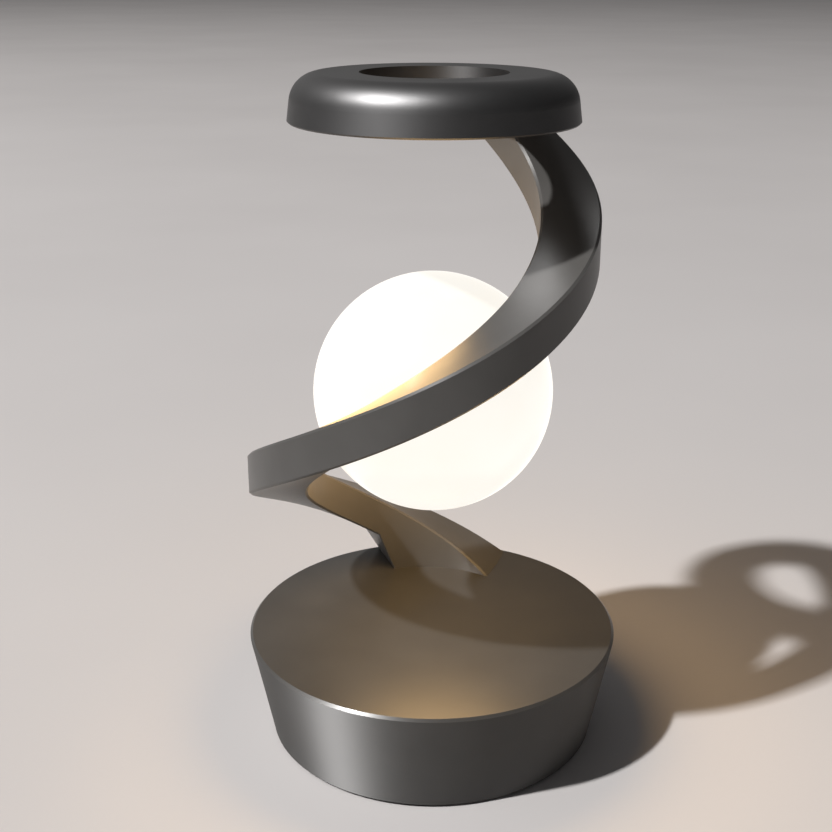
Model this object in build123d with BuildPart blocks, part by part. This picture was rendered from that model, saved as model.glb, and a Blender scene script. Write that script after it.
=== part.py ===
# Levitating table lamp: a tapered drum base, a one-turn spiral arm that carries a ring,
# and an opal globe that floats on the lamp's axis between the two.
# Millimetres, +Z up, origin on the table under the middle of the base. The front faces -Y.
import os
from math import cos, radians, sin, sqrt

from build123d import *

# Clearances and working values shared by all pieces
cut_overrun = 1.0
seat_gap = 0.25
hole_clearance = 0.1
slide_clearance = 0.1

# Drum base
base_height = 35.0
base_top_radius = 60.0
base_bottom_radius = 53.4
base_wall = 2.5
base_top_wall = 3.0
rim_bevel = 0.8
foot_height = 1.0
foot_radius = 5.0
foot_recess = 1.5
foot_edge_gap = 4.65
foot_count = 4
foot_first_angle = 45.0
foot_edge_bevel = 0.4

# Bottom cover and its screws
cover_thickness = 3.0
cover_edge_bevel = 0.5
cover_screw_angle = 28.811
cover_boss_gap = 1.0
cover_boss_radius = 4.0
cover_counterbore_depth = 2.0
vent_inner_radius = 13.0
vent_length = 14.0
vent_width = 2.0
vent_count = 6

# Spiral arm, angles in degrees round the axis from +X, seen from above
arm_start_angle = 63.0
arm_end_angle = 404.0
arm_lead_angle = 7.0
arm_tail_angle = 36.0
arm_section_step = 12.0
arm_rise = 163.0
arm_ease_share = 0.056
arm_thickness = 13.4
arm_foot_inset = 0.4
arm_head_inset = 0.5
arm_taper_power = 3.4
arm_width = 18.3
arm_foot_width = 21.6
arm_head_width = 14.9
arm_foot_bank = 2.2
arm_flare_power = 11
arm_edge_bevel = 0.7
arm_foot_depth = 6.0
heel_angle = 110.0
heel_lean_angle = 8.0
foot_screw_angles = (86.0, 104.0)
foot_screw_depth = 8.0
head_screw_angles = (408.0, 418.0)
head_screw_inset = 0.8
head_screw_depth = 5.0

# Top ring
ring_height = 13.8
ring_bottom_radius = 42.7
ring_draft_inset = 1.8
ring_band_width = 21.0
ring_shoulder = 8.6
ring_hole_round = 1.6
ring_edge_bevel = 0.5
ring_wall = 2.2
ring_cover_thickness = 2.2
ring_boss_gap = 0.33
ring_boss_radius = 2.8
ring_boss_height = 7.8
ring_boss_count = 3
ring_boss_first_angle = 150.0
ring_counterbore_depth = 1.4
lift_magnet_hole_gap = 0.7
lift_magnet_screw_gap = 0.75
lift_magnet_height = 8.0

# Levitation unit hung under the drum's top wall
carrier_side_gap = 0.4
carrier_wall = 1.5
carrier_floor = 2.0
carrier_board_gap = 3.4
carrier_boss_height = 2.0
carrier_ear_length = 7.0
carrier_ear_radius = 3.8
carrier_ear_thickness = 2.0
carrier_ear_count = 4
carrier_ear_first_angle = 45.0
carrier_boss_bite = 1.5
base_magnet_width = 12.0
coil_gap = 0.45
coil_magnet_gap = 1.9
coil_core_radius = 3.5
coil_count = 4
sensor_board_gap = 1.5
sensor_board_thickness = 1.2
sensor_size = 4.0
sensor_height = 1.5
sensor_count = 3
sensor_gap = 2.0
transmitter_inset = 0.5
transmitter_height = 2.0
transmitter_rim_gap = 1.0

# Control board, its switch and the power inlet
board_edge_gap = 1.65
board_thickness = 1.6
board_standoff = 4.0
board_standoff_radius = 3.0
board_screw_angle = 38.157
board_screw_edge_gap = 4.39
board_tongue_width = 38.0
board_tongue_gap = 2.7
chip_size = 12.0
chip_height = 1.6
capacitor_radius = 4.0
capacitor_height = 2.4
capacitor_spread = 34.0
rear_axis_rise = 5.5
rear_wall_gap = 0.65
rear_spacing = 12.0
button_radius = 4.0
button_proud_height = 1.7
button_crown = 0.6
button_flange_radius = 5.2
button_stop_gap = 2.7
button_flange_thickness = 1.5
button_stem_radius = 1.5
button_stem_engagement = 0.5
switch_width = 12.0
switch_depth = 8.0
switch_height = 9.0
switch_bore_depth = 4.0
socket_width = 9.0
socket_height = 11.0
socket_length = 12.8
socket_nose_radius = 4.0
socket_nose_recess = 0.7
socket_bore_radius = 3.15
socket_bore_depth = 9.0
socket_pin_radius = 1.0
socket_pin_length = 8.0

# Globe and its insides
globe_arm_gap = 0.8
globe_wall = 2.0
globe_gap = 43.2
cap_collar_gap = 0.445
cap_collar_height = 3.0
cap_collar_wall = 1.6
float_magnet_radius = 16.0
float_magnet_height = 5.3
receiver_inner_radius = 9.0
receiver_height = 2.0
post_radius = 2.0
post_height = 6.0
post_count = 3
led_board_radius = 20.6
led_board_thickness = 1.4
led_edge_gap = 6.85
led_count = 8
led_length = 3.5
led_width = 2.8
led_height = 0.8

# Screws: head radius, head height, shank radius
m4_head_radius = 3.5
m4_head_height = 2.5
m4_radius = 2.0
m3_head_radius = 2.75
m3_head_height = 1.8
m3_radius = 1.5
m25_head_radius = 2.25
m25_head_height = 1.3
m25_radius = 1.25
m2_head_radius = 1.9
m2_head_height = 1.3
m2_radius = 1.0
cover_screw_bite = 8.0
ring_screw_bite = 4.0
board_screw_bite = 3.4
globe_screw_bite = 4.0
socket_radius_share = 0.5
socket_depth_share = 0.6

# Levels that follow from the sizes above
cover_bottom = foot_height
cover_top = cover_bottom + cover_thickness
board_bottom = cover_top + board_standoff
board_top = board_bottom + board_thickness
rear_axis_height = board_top + rear_axis_rise
ceiling = base_height - base_top_wall
carrier_rim = ceiling - carrier_boss_height
carrier_depth = carrier_rim - board_top - carrier_board_gap
carrier_bottom = carrier_rim - carrier_depth
carrier_seat = carrier_bottom + carrier_floor
base_magnet_height = carrier_depth - carrier_floor - transmitter_height - transmitter_rim_gap
magnet_top = carrier_seat + base_magnet_height
ring_bottom = base_height + arm_rise
ring_top = ring_bottom + ring_height
ring_cover_top = ring_bottom + ring_cover_thickness

# Arm and ring, set on the drum's rim and under the ring's edge
arm_foot_radius = base_top_radius - rim_bevel - arm_foot_inset
arm_head_radius = ring_bottom_radius - arm_head_inset
ring_cover_draft = ring_draft_inset * ring_cover_thickness / (ring_height - ring_wall)
ring_cover_radius = ring_bottom_radius - ring_wall - ring_cover_draft - seat_gap
ring_hole_radius = ring_bottom_radius - ring_band_width
ring_boss_circle = ring_cover_radius - ring_boss_radius - ring_boss_gap
head_screw_circle = ring_boss_circle - head_screw_inset
lift_magnet_inner_radius = ring_hole_radius + ring_wall + lift_magnet_hole_gap
lift_magnet_outer_radius = head_screw_circle - m3_head_radius - lift_magnet_screw_gap

# What lies inside the drum, from its wall inwards
wall_slope_outside = (base_top_radius - base_bottom_radius) / (base_height - rim_bevel - foot_height)
wall_slope_inside = (base_top_radius - base_bottom_radius) / (ceiling - foot_height)
rear_outer_radius = base_bottom_radius + wall_slope_outside * (rear_axis_height - foot_height)
rear_low_radius = base_bottom_radius - base_wall + wall_slope_inside * (board_top - foot_height)
rear_high_radius = rear_low_radius + wall_slope_inside * socket_height
rear_inner_radius = min(rear_low_radius, rear_high_radius)
rear_outside = sqrt(rear_outer_radius**2 - rear_spacing**2)
rear_inside = sqrt(rear_inner_radius**2 - (rear_spacing + button_flange_radius) ** 2) - rear_wall_gap
button_reach = rear_outside + button_proud_height
button_flange_front = rear_inside
button_flange_back = button_flange_front - button_flange_thickness
switch_front = button_flange_back - button_stop_gap
switch_bore_radius = button_stem_radius + slide_clearance
socket_nose_front = rear_outside - socket_nose_recess
socket_front = rear_inside
socket_back = socket_front - socket_length
board_tongue_reach = rear_inside - board_tongue_gap
cover_lean = min(0, wall_slope_inside * cover_thickness)
cover_radius = base_bottom_radius - base_wall + cover_lean - seat_gap
foot_circle = cover_radius - foot_radius - foot_edge_gap
vent_circle = vent_inner_radius + vent_length / 2
cover_screw_circle = cover_radius - cover_boss_radius - cover_boss_gap
cover_screw_spread_x = 2 * cover_screw_circle * cos(radians(cover_screw_angle))
cover_screw_spread_y = 2 * cover_screw_circle * sin(radians(cover_screw_angle))
board_radius = cover_screw_circle - cover_boss_radius - board_edge_gap
board_screw_circle = board_radius - board_screw_edge_gap
board_screw_spread_x = 2 * board_screw_circle * cos(radians(board_screw_angle))
board_screw_spread_y = 2 * board_screw_circle * sin(radians(board_screw_angle))
carrier_radius = socket_back - carrier_side_gap
carrier_inner_radius = carrier_radius - carrier_wall
carrier_ear_circle = carrier_radius + carrier_ear_length
base_magnet_inner_radius = carrier_inner_radius - base_magnet_width
transmitter_inner_radius = base_magnet_inner_radius + transmitter_inset
sensor_board_radius = base_magnet_inner_radius - sensor_board_gap
coil_spread_share = sin(radians(180 / coil_count))
coil_room = (base_magnet_inner_radius - coil_magnet_gap) * coil_spread_share - coil_gap / 2
coil_radius = coil_room / (1 + coil_spread_share)
coil_circle = (coil_radius + coil_gap / 2) / coil_spread_share
sensor_circle = sensor_size + sensor_gap


def arm_progress(angle):
    """Share of the climb done at an angle: 0 at the base's top, 1 at the ring's underside."""
    return (angle - arm_start_angle) / (arm_end_angle - arm_start_angle)


def arm_top(angle):
    """Height of the ribbon's top face: a ramp that is a little steeper at its start."""
    done = arm_progress(angle)
    return base_height + arm_rise * (done + arm_ease_share * done * (1 - done))


def arm_outer(angle):
    """Radius of the ribbon's outer wall: nearly constant low down, drawn in towards the ring."""
    done = max(arm_progress(angle), 0)
    return arm_foot_radius - (arm_foot_radius - arm_head_radius) * done**arm_taper_power


def arm_inner(angle):
    """Radius of the inner wall: the ribbon is widest at its foot and narrowest at its head."""
    done = max(arm_progress(angle), 0)
    flare = (arm_foot_width - arm_width) * (1 - done) ** arm_flare_power
    pinch = (arm_width - arm_head_width) * done**arm_flare_power
    return arm_outer(angle) - (arm_width + flare - pinch)


def arm_inner_top(angle):
    """Height of the top face's inner edge: the face leans outwards at the foot and levels off above it."""
    done = max(arm_progress(angle), 0)
    return arm_top(angle) + arm_foot_bank * (1 - done) ** arm_flare_power


def arm_outline(angle, bottom):
    """Bevelled upright section of the ribbon, as radius and height, from a bottom level up."""
    low_r, high_r = arm_inner(angle), arm_outer(angle)
    top, inner_top = arm_top(angle), arm_inner_top(angle)
    cut = arm_edge_bevel
    return [
        (low_r + cut, bottom),
        (high_r - cut, bottom),
        (high_r, bottom + cut),
        (high_r, top - cut),
        (high_r - cut, top),
        (low_r + cut, inner_top),
        (low_r, inner_top - cut),
        (low_r, bottom + cut),
    ]


def radial_plane(angle):
    """Upright plane through the axis: x runs outwards, y runs up."""
    turn = radians(angle)
    return Plane(origin=(0, 0, 0), x_dir=(cos(turn), sin(turn), 0), z_dir=(sin(turn), -cos(turn), 0))


def spaced(first, last, step):
    """Angles from first to last in equal steps no larger than the step asked for."""
    count = int((last - first) / step) + 1
    return [first + (last - first) * index / count for index in range(count + 1)]


def globe_room():
    """Radius of the largest ball, floating at its gap over the base, that clears the ribbon."""
    rooms = []
    for angle in spaced(heel_angle, arm_end_angle, arm_section_step):
        inner = arm_inner(angle)
        high = arm_inner_top(angle) - base_height - globe_gap
        level = min(max(inner - globe_arm_gap, high - arm_thickness), high)
        if level > 0:
            rooms.append((inner**2 + level**2 - globe_arm_gap**2) / (2 * (level + globe_arm_gap)))
    return min(rooms)


def around(circle, angles):
    """Points on a circle round the axis, for an irregular set of angles."""
    return [(circle * cos(radians(angle)), circle * sin(radians(angle))) for angle in angles]


def screw_group(seat, places, head_radius, head_height, shank_radius, length, shows=False):
    """Screws on a seat plane whose z axis points into the work. Heads that show have a hexagon socket."""
    with BuildPart() as group:
        with BuildSketch(seat):
            with Locations(*places):
                Circle(head_radius)
        extrude(amount=-head_height)
        with BuildSketch(seat):
            with Locations(*places):
                Circle(shank_radius)
        extrude(amount=length)
        if shows:
            with BuildSketch(seat.offset(-head_height)):
                with Locations(*places):
                    RegularPolygon(head_radius * socket_radius_share, 6)
            extrude(amount=head_height * socket_depth_share, mode=Mode.SUBTRACT)
    return group


def downward(height):
    """Plane at a height that faces down, for screws driven from above."""
    return Plane(origin=(0, 0, height), x_dir=(1, 0, 0), z_dir=(0, 0, -1))


def mirrored(places):
    """The same places as seen on a plane that faces down."""
    return [(x, -y) for x, y in places]


def save(builder, name):
    """Labels a finished piece and writes it to its own file."""
    builder.part.label = name
    export_step(builder.part, f"parts/{name}.step")


os.makedirs("parts", exist_ok=True)

# Globe, as large as the spiral leaves room for, and its insides
globe_radius = globe_room()
globe_inner_radius = globe_radius - globe_wall
globe_centre = base_height + globe_gap + globe_radius
post_circle = led_board_radius - post_radius
led_circle = led_board_radius - led_length / 2 - led_edge_gap
collar_radius = post_circle + post_radius + cap_collar_gap + cap_collar_wall
globe_cap_drop = sqrt(globe_inner_radius**2 - (collar_radius + seat_gap) ** 2)
cap_plane = globe_centre - globe_cap_drop
magnet_bed = cap_plane - float_magnet_height
led_board_bottom = cap_plane + post_height
led_board_top = led_board_bottom + led_board_thickness

cover_screw_places = [
    (side_x * cover_screw_spread_x / 2, side_y * cover_screw_spread_y / 2)
    for side_x in (-1, 1)
    for side_y in (-1, 1)
]
board_screw_places = [
    (side_x * board_screw_spread_x / 2, side_y * board_screw_spread_y / 2)
    for side_x in (-1, 1)
    for side_y in (-1, 1)
]
carrier_screw_places = around(
    carrier_ear_circle,
    [carrier_ear_first_angle + 360 * index / carrier_ear_count for index in range(carrier_ear_count)],
)
ring_screw_places = around(
    ring_boss_circle,
    [ring_boss_first_angle + 360 * index / ring_boss_count for index in range(ring_boss_count)],
)
post_places = around(post_circle, [360 * index / post_count for index in range(post_count)])
foot_screw_places = [
    around((arm_inner(angle) + arm_outer(angle)) / 2, [angle])[0] for angle in foot_screw_angles
]
head_screw_places = around(head_screw_circle, head_screw_angles)
rear_plane = Plane.XZ.offset(-socket_nose_front)

# Drum: tapered shell, closed on top, with the bosses that carry the cover and the levitation unit
with BuildPart() as base_housing:
    with BuildSketch(Plane.XZ):
        with BuildLine():
            Polyline(
                (0, base_height),
                (base_top_radius - rim_bevel, base_height),
                (base_top_radius, base_height - rim_bevel),
                (base_bottom_radius, foot_height),
                (base_bottom_radius - base_wall, foot_height),
                (base_top_radius - base_wall, ceiling),
                (0, ceiling),
                close=True,
            )
        make_face()
    revolve(axis=Axis.Z)
    with BuildSketch(Plane.XY.offset(cover_top)):
        with Locations(*cover_screw_places):
            Circle(cover_boss_radius)
    extrude(amount=ceiling - cover_top)
    with BuildSketch(Plane.XY.offset(carrier_rim)):
        with Locations(*carrier_screw_places):
            Circle(carrier_ear_radius)
    extrude(amount=carrier_boss_height)
    with BuildSketch(Plane.XY.offset(cover_top)):
        with Locations(*cover_screw_places):
            Circle(m3_radius + hole_clearance)
    extrude(amount=cover_screw_bite + cut_overrun, mode=Mode.SUBTRACT)
    with BuildSketch(Plane.XY.offset(carrier_rim)):
        with Locations(*carrier_screw_places):
            Circle(m25_radius + hole_clearance)
    extrude(amount=carrier_boss_height + carrier_boss_bite, mode=Mode.SUBTRACT)
    with BuildSketch(Plane.XY.offset(ceiling)):
        with Locations(*foot_screw_places):
            Circle(m4_radius + hole_clearance)
    extrude(amount=base_top_wall, mode=Mode.SUBTRACT)
    with BuildSketch(Plane.XZ.offset(-button_flange_front)):
        with Locations((rear_spacing, rear_axis_height)):
            Circle(button_radius + slide_clearance)
        with Locations((-rear_spacing, rear_axis_height)):
            Circle(socket_nose_radius + seat_gap)
    extrude(amount=button_flange_front - button_reach - cut_overrun, mode=Mode.SUBTRACT)
save(base_housing, "base_housing")

# Cover that closes the drum from below, with foot pockets, vents and standoffs for the board
with BuildPart() as bottom_cover:
    with BuildSketch(Plane.XY.offset(cover_bottom)):
        Circle(cover_radius)
    extrude(amount=cover_thickness)
    chamfer(bottom_cover.faces().sort_by(Axis.Z)[0].outer_wire().edges(), cover_edge_bevel)
    with BuildSketch(Plane.XY.offset(cover_top)):
        with Locations(*board_screw_places):
            Circle(board_standoff_radius)
    extrude(amount=board_standoff)
    with BuildSketch(Plane.XY.offset(cover_bottom)):
        with PolarLocations(foot_circle, foot_count, start_angle=foot_first_angle):
            Circle(foot_radius + hole_clearance)
    extrude(amount=foot_recess, mode=Mode.SUBTRACT)
    with BuildSketch(Plane.XY.offset(cover_bottom)):
        with Locations(*cover_screw_places):
            Circle(m3_head_radius + seat_gap)
    extrude(amount=cover_counterbore_depth, mode=Mode.SUBTRACT)
    with BuildSketch(Plane.XY.offset(cover_bottom)):
        with Locations(*cover_screw_places):
            Circle(m3_radius + hole_clearance)
        with PolarLocations(vent_circle, vent_count):
            SlotOverall(vent_length, vent_width)
    extrude(amount=cover_thickness, mode=Mode.SUBTRACT)
    with BuildSketch(Plane.XY.offset(board_bottom)):
        with Locations(*board_screw_places):
            Circle(m25_radius + hole_clearance)
    extrude(amount=-board_standoff, mode=Mode.SUBTRACT)
save(bottom_cover, "bottom_cover")

bottom_screws = screw_group(
    Plane.XY.offset(cover_bottom + cover_counterbore_depth),
    cover_screw_places,
    m3_head_radius,
    m3_head_height,
    m3_radius,
    cover_thickness - cover_counterbore_depth + cover_screw_bite,
    shows=True,
)
save(bottom_screws, "bottom_screws")

# Soft feet, seated in the cover's pockets and standing proud of it
with BuildPart() as rubber_feet:
    with BuildSketch(Plane.XY):
        with PolarLocations(foot_circle, foot_count, start_angle=foot_first_angle):
            Circle(foot_radius)
    extrude(amount=foot_height + foot_recess)
    chamfer(rubber_feet.edges().group_by(Axis.Z)[0], foot_edge_bevel)
save(rubber_feet, "rubber_feet")

# Spiral arm: a solid foot on the base, a leaning heel, and the climbing ribbon, cut flat at both ends
with BuildPart() as spiral_arm:
    sunk = base_height - arm_foot_depth
    for angle in spaced(arm_start_angle - arm_lead_angle, heel_angle, arm_section_step):
        with BuildSketch(radial_plane(angle)):
            with BuildLine():
                Polyline(*arm_outline(angle, sunk), close=True)
            make_face()
    loft()
    heel_end = heel_angle + heel_lean_angle
    for angle in spaced(heel_angle, heel_end, heel_lean_angle / 2):
        lean = (angle - heel_angle) / heel_lean_angle
        rising = base_height + lean * (arm_top(heel_end) - arm_thickness - base_height)
        with BuildSketch(radial_plane(angle)):
            with BuildLine():
                Polyline(*arm_outline(angle, rising), close=True)
            make_face()
    loft()
    for angle in spaced(heel_end, arm_end_angle + arm_tail_angle, arm_section_step):
        with BuildSketch(radial_plane(angle)):
            with BuildLine():
                Polyline(*arm_outline(angle, arm_top(angle) - arm_thickness), close=True)
            make_face()
    loft()
    split(bisect_by=Plane.XY.offset(base_height), keep=Keep.TOP)
    split(bisect_by=Plane.XY.offset(ring_bottom), keep=Keep.BOTTOM)
    with BuildSketch(Plane.XY.offset(base_height)):
        with Locations(*foot_screw_places):
            Circle(m4_radius + hole_clearance)
    extrude(amount=foot_screw_depth + hole_clearance, mode=Mode.SUBTRACT)
    with BuildSketch(Plane.XY.offset(ring_bottom)):
        with Locations(*head_screw_places):
            Circle(m3_radius + hole_clearance)
    extrude(amount=-head_screw_depth - hole_clearance, mode=Mode.SUBTRACT)
save(spiral_arm, "spiral_arm")

arm_foot_screws = screw_group(
    Plane.XY.offset(ceiling),
    foot_screw_places,
    m4_head_radius,
    m4_head_height,
    m4_radius,
    base_top_wall + foot_screw_depth,
)
save(arm_foot_screws, "arm_foot_screws")

arm_top_screws = screw_group(
    downward(ring_cover_top),
    mirrored(head_screw_places),
    m3_head_radius,
    m3_head_height,
    m3_radius,
    ring_cover_thickness + head_screw_depth,
)
save(arm_top_screws, "arm_top_screws")

# Top ring: a moulded shell with a drafted side and a full shoulder, open underneath
with BuildPart() as ring_shell:
    with BuildSketch(Plane.XZ):
        with BuildLine():
            Polyline(
                (ring_hole_radius, ring_bottom),
                (ring_bottom_radius - ring_edge_bevel, ring_bottom),
                (ring_bottom_radius, ring_bottom + ring_edge_bevel),
                (ring_bottom_radius - ring_draft_inset, ring_top),
                (ring_hole_radius, ring_top),
                close=True,
            )
        solid_face = make_face()
        top_corners = solid_face.vertices().group_by(Axis.Y)[-1].sort_by(Axis.X)
        fillet(top_corners[-1], ring_shoulder)
        fillet(top_corners[0], ring_hole_round)
    revolve(axis=Axis.Z)
    with BuildSketch(Plane.XZ):
        with BuildLine():
            Polyline(
                (ring_hole_radius + ring_wall, ring_bottom),
                (ring_bottom_radius - ring_wall, ring_bottom),
                (ring_bottom_radius - ring_draft_inset - ring_wall, ring_top - ring_wall),
                (ring_hole_radius + ring_wall, ring_top - ring_wall),
                close=True,
            )
        hollow_face = make_face()
        hollow_corners = hollow_face.vertices().group_by(Axis.Y)[-1].sort_by(Axis.X)
        fillet(hollow_corners[-1], ring_shoulder - ring_wall)
    revolve(axis=Axis.Z, mode=Mode.SUBTRACT)
    with BuildSketch(Plane.XY.offset(ring_cover_top)):
        with Locations(*ring_screw_places):
            Circle(ring_boss_radius)
    extrude(amount=ring_boss_height)
    with BuildSketch(Plane.XY.offset(ring_cover_top)):
        with Locations(*ring_screw_places):
            Circle(m25_radius + hole_clearance)
    extrude(amount=ring_screw_bite + hole_clearance, mode=Mode.SUBTRACT)
save(ring_shell, "ring_shell")

# Flat cover let into the ring's underside, which the arm's head is screwed to
with BuildPart() as ring_cover:
    with BuildSketch(Plane.XY.offset(ring_bottom)):
        Circle(ring_cover_radius)
        Circle(ring_hole_radius + ring_wall + seat_gap, mode=Mode.SUBTRACT)
    extrude(amount=ring_cover_thickness)
    with BuildSketch(Plane.XY.offset(ring_bottom)):
        with Locations(*ring_screw_places):
            Circle(m25_head_radius + seat_gap)
    extrude(amount=ring_counterbore_depth, mode=Mode.SUBTRACT)
    with BuildSketch(Plane.XY.offset(ring_bottom)):
        with Locations(*ring_screw_places):
            Circle(m25_radius + hole_clearance)
        with Locations(*head_screw_places):
            Circle(m3_radius + hole_clearance)
    extrude(amount=ring_cover_thickness, mode=Mode.SUBTRACT)
save(ring_cover, "ring_cover")

ring_screws = screw_group(
    Plane.XY.offset(ring_bottom + ring_counterbore_depth),
    ring_screw_places,
    m25_head_radius,
    m25_head_height,
    m25_radius,
    ring_cover_thickness - ring_counterbore_depth + ring_screw_bite,
    shows=True,
)
save(ring_screws, "ring_screws")

# Ring magnet that takes part of the globe's weight from above
with BuildPart() as lift_magnet:
    with BuildSketch(Plane.XY.offset(ring_cover_top)):
        Circle(lift_magnet_outer_radius)
        Circle(lift_magnet_inner_radius, mode=Mode.SUBTRACT)
    extrude(amount=lift_magnet_height)
save(lift_magnet, "lift_magnet")

# Cup that holds the levitation unit, hung by its ears from the drum's ceiling
with BuildPart() as coil_carrier:
    with BuildSketch(Plane.XY.offset(carrier_bottom)):
        Circle(carrier_radius)
    extrude(amount=carrier_depth)
    with BuildSketch(Plane.XY.offset(carrier_rim)):
        with PolarLocations(carrier_ear_circle, carrier_ear_count, start_angle=carrier_ear_first_angle):
            Circle(carrier_ear_radius)
            Rectangle(carrier_ear_circle, 2 * carrier_ear_radius, align=(Align.MAX, Align.CENTER))
    extrude(amount=-carrier_ear_thickness)
    with BuildSketch(Plane.XY.offset(carrier_seat)):
        Circle(carrier_inner_radius)
    extrude(amount=carrier_depth, mode=Mode.SUBTRACT)
    with BuildSketch(Plane.XY.offset(carrier_rim)):
        with Locations(*carrier_screw_places):
            Circle(m25_radius + hole_clearance)
    extrude(amount=-carrier_ear_thickness, mode=Mode.SUBTRACT)
save(coil_carrier, "coil_carrier")

carrier_screws = screw_group(
    Plane.XY.offset(carrier_rim - carrier_ear_thickness),
    carrier_screw_places,
    m25_head_radius,
    m25_head_height,
    m25_radius,
    carrier_ear_thickness + carrier_boss_height + carrier_boss_bite - hole_clearance,
)
save(carrier_screws, "carrier_screws")

# Large ring magnet on the carrier's floor
with BuildPart() as base_magnet:
    with BuildSketch(Plane.XY.offset(carrier_seat)):
        Circle(carrier_inner_radius - seat_gap)
        Circle(base_magnet_inner_radius, mode=Mode.SUBTRACT)
    extrude(amount=base_magnet_height)
save(base_magnet, "base_magnet")

# Steering windings inside the ring magnet, two for each horizontal direction
with BuildPart() as stabiliser_coils:
    with BuildSketch(Plane.XY.offset(carrier_seat)):
        with PolarLocations(coil_circle, coil_count):
            Circle(coil_radius)
            Circle(coil_core_radius + hole_clearance, mode=Mode.SUBTRACT)
    extrude(amount=base_magnet_height)
save(stabiliser_coils, "stabiliser_coils")

with BuildPart() as coil_cores:
    with BuildSketch(Plane.XY.offset(carrier_seat)):
        with PolarLocations(coil_circle, coil_count):
            Circle(coil_core_radius)
    extrude(amount=base_magnet_height)
save(coil_cores, "coil_cores")

# Small board on the coils with the position sensors on its top
with BuildPart() as sensor_board:
    with BuildSketch(Plane.XY.offset(magnet_top)):
        Circle(sensor_board_radius)
    extrude(amount=sensor_board_thickness)
    with BuildSketch(Plane.XY.offset(magnet_top + sensor_board_thickness)):
        with PolarLocations(sensor_circle, sensor_count):
            Rectangle(sensor_size, sensor_size)
    extrude(amount=sensor_height)
save(sensor_board, "sensor_board")

# Flat winding on the ring magnet that powers the globe
with BuildPart() as transmitter_coil:
    with BuildSketch(Plane.XY.offset(magnet_top)):
        Circle(carrier_inner_radius - seat_gap)
        Circle(transmitter_inner_radius, mode=Mode.SUBTRACT)
    extrude(amount=transmitter_height)
save(transmitter_coil, "transmitter_coil")

# Control board on the cover's standoffs, with a tongue that carries the switch and the inlet
with BuildPart() as control_board:
    with BuildSketch(Plane.XY.offset(board_bottom)):
        Circle(board_radius)
        Rectangle(board_tongue_width, board_tongue_reach, align=(Align.CENTER, Align.MIN))
        with Locations(*board_screw_places):
            Circle(m25_radius + hole_clearance, mode=Mode.SUBTRACT)
    extrude(amount=board_thickness)
    with BuildSketch(Plane.XY.offset(board_top)):
        Rectangle(chip_size, chip_size)
    extrude(amount=chip_height)
    with BuildSketch(Plane.XY.offset(board_top)):
        with GridLocations(capacitor_spread, capacitor_spread, 2, 1):
            Circle(capacitor_radius)
    extrude(amount=capacitor_height)
save(control_board, "control_board")

board_screws = screw_group(
    downward(board_top),
    mirrored(board_screw_places),
    m25_head_radius,
    m25_head_height,
    m25_radius,
    board_thickness + board_screw_bite,
)
save(board_screws, "board_screws")

# Switch behind the button, with a bore for the button's stem
with BuildPart() as button_switch:
    with BuildSketch(Plane.XY.offset(board_top)):
        with Locations((rear_spacing, switch_front)):
            Rectangle(switch_width, switch_depth, align=(Align.CENTER, Align.MAX))
    extrude(amount=switch_height)
    with BuildSketch(Plane.XZ.offset(-switch_front)):
        with Locations((rear_spacing, rear_axis_height)):
            Circle(switch_bore_radius)
    extrude(amount=switch_bore_depth, mode=Mode.SUBTRACT)
save(button_switch, "button_switch")

# Push button: crowned cap through the wall, a flange that keeps it in, and a stem into the switch
with BuildPart() as power_button:
    with BuildSketch(Plane.XZ.offset(-button_reach)):
        with Locations((rear_spacing, rear_axis_height)):
            Circle(button_radius)
    extrude(amount=button_reach - button_flange_back)
    chamfer(power_button.faces().sort_by(Axis.Y)[-1].edges(), button_crown)
    with BuildSketch(Plane.XZ.offset(-button_flange_front)):
        with Locations((rear_spacing, rear_axis_height)):
            Circle(button_flange_radius)
    extrude(amount=button_flange_thickness)
    with BuildSketch(Plane.XZ.offset(-button_flange_back)):
        with Locations((rear_spacing, rear_axis_height)):
            Circle(button_stem_radius)
    extrude(amount=button_flange_back - switch_front + button_stem_engagement)
save(power_button, "power_button")

# Power inlet: a block on the board with a round nose in the drum's wall
with BuildPart() as inlet_socket:
    with BuildSketch(Plane.XY.offset(board_top)):
        with Locations((-rear_spacing, socket_front)):
            Rectangle(socket_width, socket_length, align=(Align.CENTER, Align.MAX))
    extrude(amount=socket_height)
    with BuildSketch(rear_plane):
        with Locations((-rear_spacing, rear_axis_height)):
            Circle(socket_nose_radius)
    extrude(amount=socket_nose_front - socket_front)
    with BuildSketch(rear_plane):
        with Locations((-rear_spacing, rear_axis_height)):
            Circle(socket_bore_radius)
    extrude(amount=socket_bore_depth, mode=Mode.SUBTRACT)
save(inlet_socket, "inlet_socket")

with BuildPart() as inlet_pin:
    with BuildSketch(rear_plane.offset(socket_bore_depth)):
        with Locations((-rear_spacing, rear_axis_height)):
            Circle(socket_pin_radius)
    extrude(amount=-socket_pin_length)
save(inlet_pin, "inlet_pin")

# Opal globe: a thin ball, open underneath
with BuildPart() as globe_shell:
    with Locations((0, 0, globe_centre)):
        Sphere(globe_radius)
        Sphere(globe_inner_radius, mode=Mode.SUBTRACT)
    split(bisect_by=Plane.XY.offset(cap_plane), keep=Keep.TOP)
save(globe_shell, "globe_shell")

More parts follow.
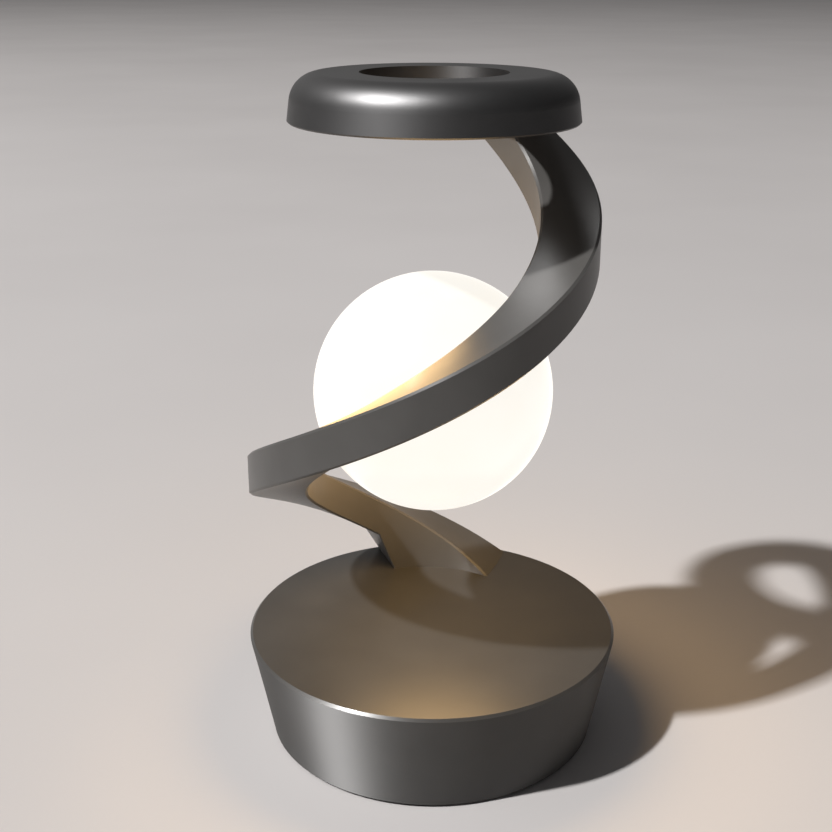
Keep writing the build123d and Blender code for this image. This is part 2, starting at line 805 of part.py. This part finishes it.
# Cap that closes the globe: a slice of the same ball with a collar, a magnet bed and screw posts
with BuildPart() as globe_cap:
    with Locations((0, 0, globe_centre)):
        Sphere(globe_radius)
    split(bisect_by=Plane.XY.offset(cap_plane), keep=Keep.BOTTOM)
    with BuildSketch(Plane.XY.offset(cap_plane)):
        Circle(collar_radius)
        Circle(collar_radius - cap_collar_wall, mode=Mode.SUBTRACT)
    extrude(amount=cap_collar_height)
    with BuildSketch(Plane.XY.offset(cap_plane)):
        with Locations(*post_places):
            Circle(post_radius)
    extrude(amount=post_height)
    with BuildSketch(Plane.XY.offset(led_board_bottom)):
        with Locations(*post_places):
            Circle(m2_radius + hole_clearance)
    extrude(amount=-globe_screw_bite - hole_clearance, mode=Mode.SUBTRACT)
    with BuildSketch(Plane.XY.offset(magnet_bed)):
        Circle(float_magnet_radius + hole_clearance)
    extrude(amount=float_magnet_height, mode=Mode.SUBTRACT)
save(globe_cap, "globe_cap")

with BuildPart() as float_magnet:
    with BuildSketch(Plane.XY.offset(magnet_bed)):
        Circle(float_magnet_radius)
    extrude(amount=float_magnet_height)
save(float_magnet, "float_magnet")

# Flat winding on the floating magnet that takes up power
with BuildPart() as receiver_coil:
    with BuildSketch(Plane.XY.offset(cap_plane)):
        Circle(float_magnet_radius)
        Circle(receiver_inner_radius, mode=Mode.SUBTRACT)
    extrude(amount=receiver_height)
save(receiver_coil, "receiver_coil")

with BuildPart() as led_board:
    with BuildSketch(Plane.XY.offset(led_board_bottom)):
        Circle(led_board_radius)
        with Locations(*post_places):
            Circle(m2_radius + hole_clearance, mode=Mode.SUBTRACT)
    extrude(amount=led_board_thickness)
save(led_board, "led_board")

with BuildPart() as led_chips:
    with BuildSketch(Plane.XY.offset(led_board_top)):
        with PolarLocations(led_circle, led_count):
            Rectangle(led_length, led_width)
    extrude(amount=led_height)
save(led_chips, "led_chips")

globe_screws = screw_group(
    downward(led_board_top),
    mirrored(post_places),
    m2_head_radius,
    m2_head_height,
    m2_radius,
    led_board_thickness + globe_screw_bite,
)
save(globe_screws, "globe_screws")
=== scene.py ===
"""Looks of the levitating table lamp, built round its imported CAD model."""
import math

import bpy
from mathutils import Matrix, Vector

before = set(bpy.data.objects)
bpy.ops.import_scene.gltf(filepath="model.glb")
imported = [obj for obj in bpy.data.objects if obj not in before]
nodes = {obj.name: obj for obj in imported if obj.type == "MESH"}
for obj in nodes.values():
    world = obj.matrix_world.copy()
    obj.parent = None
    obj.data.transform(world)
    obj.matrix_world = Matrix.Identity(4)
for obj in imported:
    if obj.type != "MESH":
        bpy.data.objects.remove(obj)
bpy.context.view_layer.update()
MM = 0.001

# Camera of the photograph: place in metres, pitch below the horizon and roll in degrees, lens in mm
CAMERA_PLACE = (0.0, -0.3786, 0.2426)
CAMERA_PITCH = 19.705
CAMERA_ROLL = 0.253
CAMERA_LENS = 55.385
CAMERA_SENSOR = 36.0
CAMERA_SHIFT = -0.0205
CAMERA_NEAR = 0.01
CAMERA_FAR = 100.0

# World: dim all round, and brighter towards one side
WORLD_BRIGHT_SIDE = (-0.70, 0.70, 0.10)
WORLD_DIM = (0.075, 0.073, 0.073)
WORLD_BRIGHT = (0.26, 0.254, 0.25)
WORLD_RISE = (0.1, 1.0)

# Floor: a plain pale sheet
FLOOR_DARK = (0.62, 0.60, 0.60)
FLOOR_LIGHT = (0.66, 0.64, 0.64)
FLOOR_ROUGH = (0.65, 0.8)
FLOOR_PATCH = 0.4
FLOOR_GRAIN = 1.5 * MM
FLOOR_SIZE = 80.0

# Area lights: azimuth, elevation, distance, size, watts, colour
AIM = Vector((0.0, 0.0, 0.10))
KEY = (58.6, 49.3, 8.0, (0.30, 0.30), 680.0, (1.0, 0.98, 0.96))
CARD_COLOUR = (1.0, 0.98, 0.97)
# Each card is seen by one node, and only as a reflection
CARDS = {
    "ring_shell": ("front card", 56.0, 56.0, 1.2, (0.75, 0.5), 34.0, CARD_COLOUR),
    "spiral_arm": ("top card", 158.0, 57.0, 1.3, (0.7, 0.45), 9.0, CARD_COLOUR),
    "base_housing": ("side card", 60.0, 15.0, 1.2, (0.42, 0.35), 36.5, CARD_COLOUR),
}

# Light of the globe: a round lamp just larger than its shell
GLOBE_WATTS = 0.29
GLOBE_COLOUR = (1.0, 0.57, 0.16)
GLOBE_RADIUS = 37.4 * MM
GLOBE_HEIGHT = 115.4 * MM

# Fine relief of grain and of wire turns
GRAIN_DEPTH = 0.02 * MM
TURN_DEPTH = 0.1 * MM
TURN_STRENGTH = 0.6
# Metres from ring to ring of a wave texture at a scale of 1
WAVE_PERIOD = 0.314
# Anisotropy drawn out across the tangent, not along it
QUARTER_TURN = 0.25

# Opal plastic under its glow
OPAL_DARK = (0.17, 0.165, 0.155)
OPAL_LIGHT = (0.20, 0.195, 0.18)
OPAL_ROUGH = (0.22, 0.28)
GLOW_PATCH = 40 * MM
GLOW_SHADE = (1.0, 0.97, 0.93)


def add(tree, kind, **values):
    """A shader node with its settings and constant inputs."""
    node = tree.nodes.new(kind)
    for key, value in values.items():
        if key in node.inputs.keys():
            node.inputs[key].default_value = value
        else:
            setattr(node, key, value)
    return node


def parts_of(material):
    """Node tree, shader and texture coordinates of a finish."""
    kinds = {node.type: node for node in material.node_tree.nodes}
    return material.node_tree, kinds["BSDF_PRINCIPLED"], kinds["TEX_COORD"].outputs


def noise(tree, place, size, detail=3.0):
    """Soft noise whose patches are about a size in metres."""
    node = add(tree, "ShaderNodeTexNoise", Scale=1.0 / size, Detail=detail, Roughness=0.55)
    tree.links.new(place, node.inputs["Vector"])
    return node.outputs["Fac"]


def spread(tree, value, low, high, start=0.3, end=0.7):
    """Maps the stretch of a value from start to end onto a range."""
    node = add(tree, "ShaderNodeMapRange")
    node.inputs["From Min"].default_value = start
    node.inputs["From Max"].default_value = end
    node.inputs["To Min"].default_value = low
    node.inputs["To Max"].default_value = high
    tree.links.new(value, node.inputs["Value"])
    return node.outputs["Result"]


def ramp(tree, value, dark, light, start=0.3, end=0.7):
    """Runs between two colours along a value."""
    node = tree.nodes.new("ShaderNodeValToRGB")
    node.color_ramp.elements[0].position = start
    node.color_ramp.elements[0].color = (*dark, 1.0)
    node.color_ramp.elements[1].position = end
    node.color_ramp.elements[1].color = (*light, 1.0)
    tree.links.new(value, node.inputs["Fac"])
    return node.outputs["Color"]


def bump(tree, shader, height, strength, depth):
    """Small relief from a height value, its depth in metres."""
    node = add(tree, "ShaderNodeBump", Strength=strength, Distance=depth)
    tree.links.new(height, node.inputs["Height"])
    tree.links.new(node.outputs["Normal"], shader.inputs["Normal"])


def finish(
    name, dark, light, rough,
    patch=18 * MM, grain=0.3 * MM, relief=0.1, metallic=0.0, **sockets
):
    """A surface with slow colour drift, and fine grain in its roughness and relief."""
    material = bpy.data.materials.new(name)
    material.use_nodes = True
    add(material.node_tree, "ShaderNodeTexCoord")
    tree, shader, places = parts_of(material)
    drift = noise(tree, places["Object"], patch)
    speck = noise(tree, places["Object"], grain, detail=2.0)
    tree.links.new(ramp(tree, drift, dark, light), shader.inputs["Base Color"])
    tree.links.new(spread(tree, speck, rough[0], rough[1]), shader.inputs["Roughness"])
    if relief:
        bump(tree, shader, speck, relief, GRAIN_DEPTH)
    shader.inputs["Metallic"].default_value = metallic
    for key, value in sockets.items():
        shader.inputs[key.replace("_", " ")].default_value = value
    return material


def turn_walls(material, rough, streak, start, end):
    """Turned upright walls: fine rings round the axis draw a highlight out into an upright band."""
    tree, shader, places = parts_of(material)
    facing = add(tree, "ShaderNodeSeparateXYZ")
    tree.links.new(places["Normal"], facing.inputs["Vector"])
    level = add(tree, "ShaderNodeMath", operation="ABSOLUTE")
    tree.links.new(facing.outputs["Z"], level.inputs["Value"])
    flat = level.outputs["Value"]
    blend = add(tree, "ShaderNodeMix", data_type="FLOAT", B=rough)
    tree.links.new(spread(tree, flat, 1.0, 0.0, start, end), blend.inputs["Factor"])
    tree.links.new(shader.inputs["Roughness"].links[0].from_socket, blend.inputs["A"])
    tree.links.new(blend.outputs["Result"], shader.inputs["Roughness"])
    tree.links.new(spread(tree, flat, streak, 0.0, start, end), shader.inputs["Anisotropic"])
    shader.inputs["Anisotropic Rotation"].default_value = QUARTER_TURN
    rings = add(tree, "ShaderNodeTangent", direction_type="RADIAL", axis="Z")
    tree.links.new(rings.outputs["Tangent"], shader.inputs["Tangent"])


def windings(name, dark, light, pitch):
    """Enamelled wire: a finish with the turns as fine rings round the axis."""
    material = finish(name, dark, light, (0.25, 0.38), grain=0.5 * MM, relief=0.0, metallic=0.9)
    tree, shader, places = parts_of(material)
    turns = add(
        tree, "ShaderNodeTexWave",
        wave_type="RINGS", rings_direction="Z", Scale=WAVE_PERIOD / pitch
    )
    tree.links.new(places["Object"], turns.inputs["Vector"])
    bump(tree, shader, turns.outputs["Fac"], TURN_STRENGTH, TURN_DEPTH)
    return material


def opal(name, colour, level):
    """Lit opal plastic: a warm glow that drifts a little over the surface."""
    material = finish(name, OPAL_DARK, OPAL_LIGHT, OPAL_ROUGH, patch=25 * MM, relief=0.03)
    tree, shader, places = parts_of(material)
    shade = tuple(part * share for part, share in zip(colour, GLOW_SHADE))
    glow = ramp(tree, noise(tree, places["Object"], GLOW_PATCH), shade, colour)
    tree.links.new(glow, shader.inputs["Emission Color"])
    shader.inputs["Emission Strength"].default_value = level
    return material


# Finishes: darkest and lightest colour, then the range of the roughness
charcoal = finish(
    "charcoal_metal", (0.050, 0.049, 0.047), (0.059, 0.058, 0.056), (0.30, 0.36),
    relief=0.02, Specular_IOR_Level=0.8
)
turn_walls(charcoal, rough=0.62, streak=0.9, start=0.3, end=0.7)
# The arm's charcoal is a lighter copy of the base's charcoal. This is painted light: the lighter
# colour stands in for the key light on the arm's top faces.
arm_charcoal_painted_lighter = finish(
    "charcoal_arm_painted_lighter", (0.088, 0.086, 0.083), (0.102, 0.100, 0.097), (0.33, 0.38),
    relief=0.02, Specular_IOR_Level=0.3
)
satin = finish(
    "black_satin", (0.066, 0.066, 0.067), (0.076, 0.076, 0.077), (0.40, 0.45),
    metallic=0.85, relief=0.008
)
turn_walls(satin, rough=0.46, streak=0.68, start=0.05, end=0.35)
matt = finish(
    "black_plastic", (0.026, 0.026, 0.028), (0.036, 0.036, 0.038), (0.5, 0.65),
    grain=0.5 * MM, relief=0.35
)
gloss = finish(
    "button_plastic", (0.045, 0.045, 0.047), (0.055, 0.055, 0.057), (0.2, 0.28),
    relief=0.05
)
rubber = finish(
    "rubber", (0.016, 0.016, 0.016), (0.026, 0.026, 0.026), (0.75, 0.9),
    grain=0.4 * MM, relief=0.4
)
lit = opal("opal", (0.93, 0.91, 0.86), level=1.0)
board = finish(
    "board", (0.015, 0.10, 0.04), (0.025, 0.14, 0.06), (0.3, 0.42),
    patch=6 * MM, relief=0.15
)
white = finish(
    "white_board", (0.80, 0.80, 0.80), (0.87, 0.87, 0.86), (0.4, 0.5),
    relief=0.08
)
copper = windings("copper", (0.62, 0.28, 0.12), (0.78, 0.40, 0.20), pitch=0.5 * MM)
steel = finish(
    "steel", (0.48, 0.48, 0.49), (0.60, 0.60, 0.60), (0.25, 0.4),
    patch=4 * MM, metallic=1.0, relief=0.15
)
ferrite = finish(
    "ferrite", (0.050, 0.050, 0.055), (0.075, 0.075, 0.080), (0.5, 0.7),
    grain=0.2 * MM, relief=0.3
)
nickel = finish(
    "nickel", (0.56, 0.54, 0.50), (0.68, 0.66, 0.62), (0.12, 0.2),
    metallic=1.0, relief=0.05
)
phosphor = opal("led", (1.0, 0.85, 0.45), level=2.0)
brass = finish(
    "brass", (0.66, 0.52, 0.24), (0.80, 0.66, 0.34), (0.2, 0.3),
    patch=4 * MM, metallic=1.0, relief=0.08
)

LOOKS = {
    "base_housing": charcoal,
    "spiral_arm": arm_charcoal_painted_lighter,
    "ring_shell": satin,
    "ring_cover": matt,
    "bottom_cover": matt,
    "coil_carrier": matt,
    "button_switch": matt,
    "inlet_socket": matt,
    "power_button": gloss,
    "rubber_feet": rubber,
    "globe_shell": lit,
    "globe_cap": lit,
    "control_board": board,
    "sensor_board": board,
    "led_board": white,
    "stabiliser_coils": copper,
    "transmitter_coil": copper,
    "receiver_coil": copper,
    "bottom_screws": steel,
    "arm_foot_screws": steel,
    "arm_top_screws": steel,
    "ring_screws": steel,
    "carrier_screws": steel,
    "board_screws": steel,
    "globe_screws": steel,
    "coil_cores": ferrite,
    "base_magnet": ferrite,
    "lift_magnet": nickel,
    "float_magnet": nickel,
    "led_chips": phosphor,
    "inlet_pin": brass,
}
for name, node in nodes.items():
    node.data.materials.clear()
    node.data.materials.append(LOOKS[name])


def area_light(name, azimuth, elevation, distance, size, watts, colour):
    """Soft light, its azimuth to the left of the camera's side of the lamp."""
    turn, rise = math.radians(azimuth), math.radians(elevation)
    light = bpy.data.lights.new(name, "AREA")
    light.shape = "RECTANGLE"
    light.size, light.size_y = size
    light.energy = watts
    light.color = colour
    lamp = bpy.data.objects.new(name, light)
    reach = math.cos(rise)
    way = Vector((-math.sin(turn) * reach, -math.cos(turn) * reach, math.sin(rise)))
    lamp.location = AIM + way * distance
    lamp.rotation_euler = (-way).to_track_quat("-Z", "Y").to_euler()
    bpy.context.collection.objects.link(lamp)
    return lamp


def link_light(lamp, state, *names):
    """Limits a lamp's light to some nodes (INCLUDE), or keeps it off them (EXCLUDE)."""
    linked = bpy.data.collections.new(lamp.name + " nodes")
    for name in names:
        linked.objects.link(nodes[name])
    for entry in linked.collection_objects:
        entry.light_linking.link_state = state
    lamp.light_linking.receiver_collection = linked


area_light("key", *KEY)
for name, card in CARDS.items():
    lamp = area_light(*card)
    lamp.visible_diffuse = False
    lamp.visible_camera = False
    link_light(lamp, "INCLUDE", name)

warm = bpy.data.lights.new("warm", "POINT")
warm.energy = GLOBE_WATTS
warm.color = GLOBE_COLOUR
warm.use_soft_falloff = False
warm.shadow_soft_size = GLOBE_RADIUS
bulb = bpy.data.objects.new("warm", warm)
bulb.location = (0.0, 0.0, GLOBE_HEIGHT)
bulb.visible_camera = False
bpy.context.collection.objects.link(bulb)
link_light(bulb, "EXCLUDE", "globe_shell", "globe_cap")

bpy.ops.mesh.primitive_plane_add(size=FLOOR_SIZE, location=(0, 0, 0))
floor = bpy.context.object
floor.name = "floor"
floor.data.materials.append(
    finish(
        "floor", FLOOR_DARK, FLOOR_LIGHT, FLOOR_ROUGH,
        patch=FLOOR_PATCH, grain=FLOOR_GRAIN, relief=0.05
    )
)

world = bpy.data.worlds.new("studio")
world.use_nodes = True
air = world.node_tree
way = add(air, "ShaderNodeTexCoord").outputs["Generated"]
slope = add(air, "ShaderNodeVectorMath", operation="DOT_PRODUCT")
slope.inputs[1].default_value = WORLD_BRIGHT_SIDE
air.links.new(way, slope.inputs[0])
sky = ramp(air, slope.outputs["Value"], WORLD_DIM, WORLD_BRIGHT, *WORLD_RISE)
air.links.new(sky, air.nodes["Background"].inputs["Color"])
bpy.context.scene.world = world
bpy.context.scene.view_settings.view_transform = "Standard"

eye = bpy.data.cameras.new("camera")
eye.sensor_width = CAMERA_SENSOR
eye.lens = CAMERA_LENS
eye.shift_x = CAMERA_SHIFT
eye.clip_start = CAMERA_NEAR
eye.clip_end = CAMERA_FAR
camera = bpy.data.objects.new("camera", eye)
camera.location = CAMERA_PLACE
tilt = Matrix.Rotation(math.radians(90.0 - CAMERA_PITCH), 3, "X")
roll = Matrix.Rotation(math.radians(CAMERA_ROLL), 3, "Z")
camera.rotation_euler = (tilt @ roll).to_euler()
bpy.context.collection.objects.link(camera)
bpy.context.scene.camera = camera
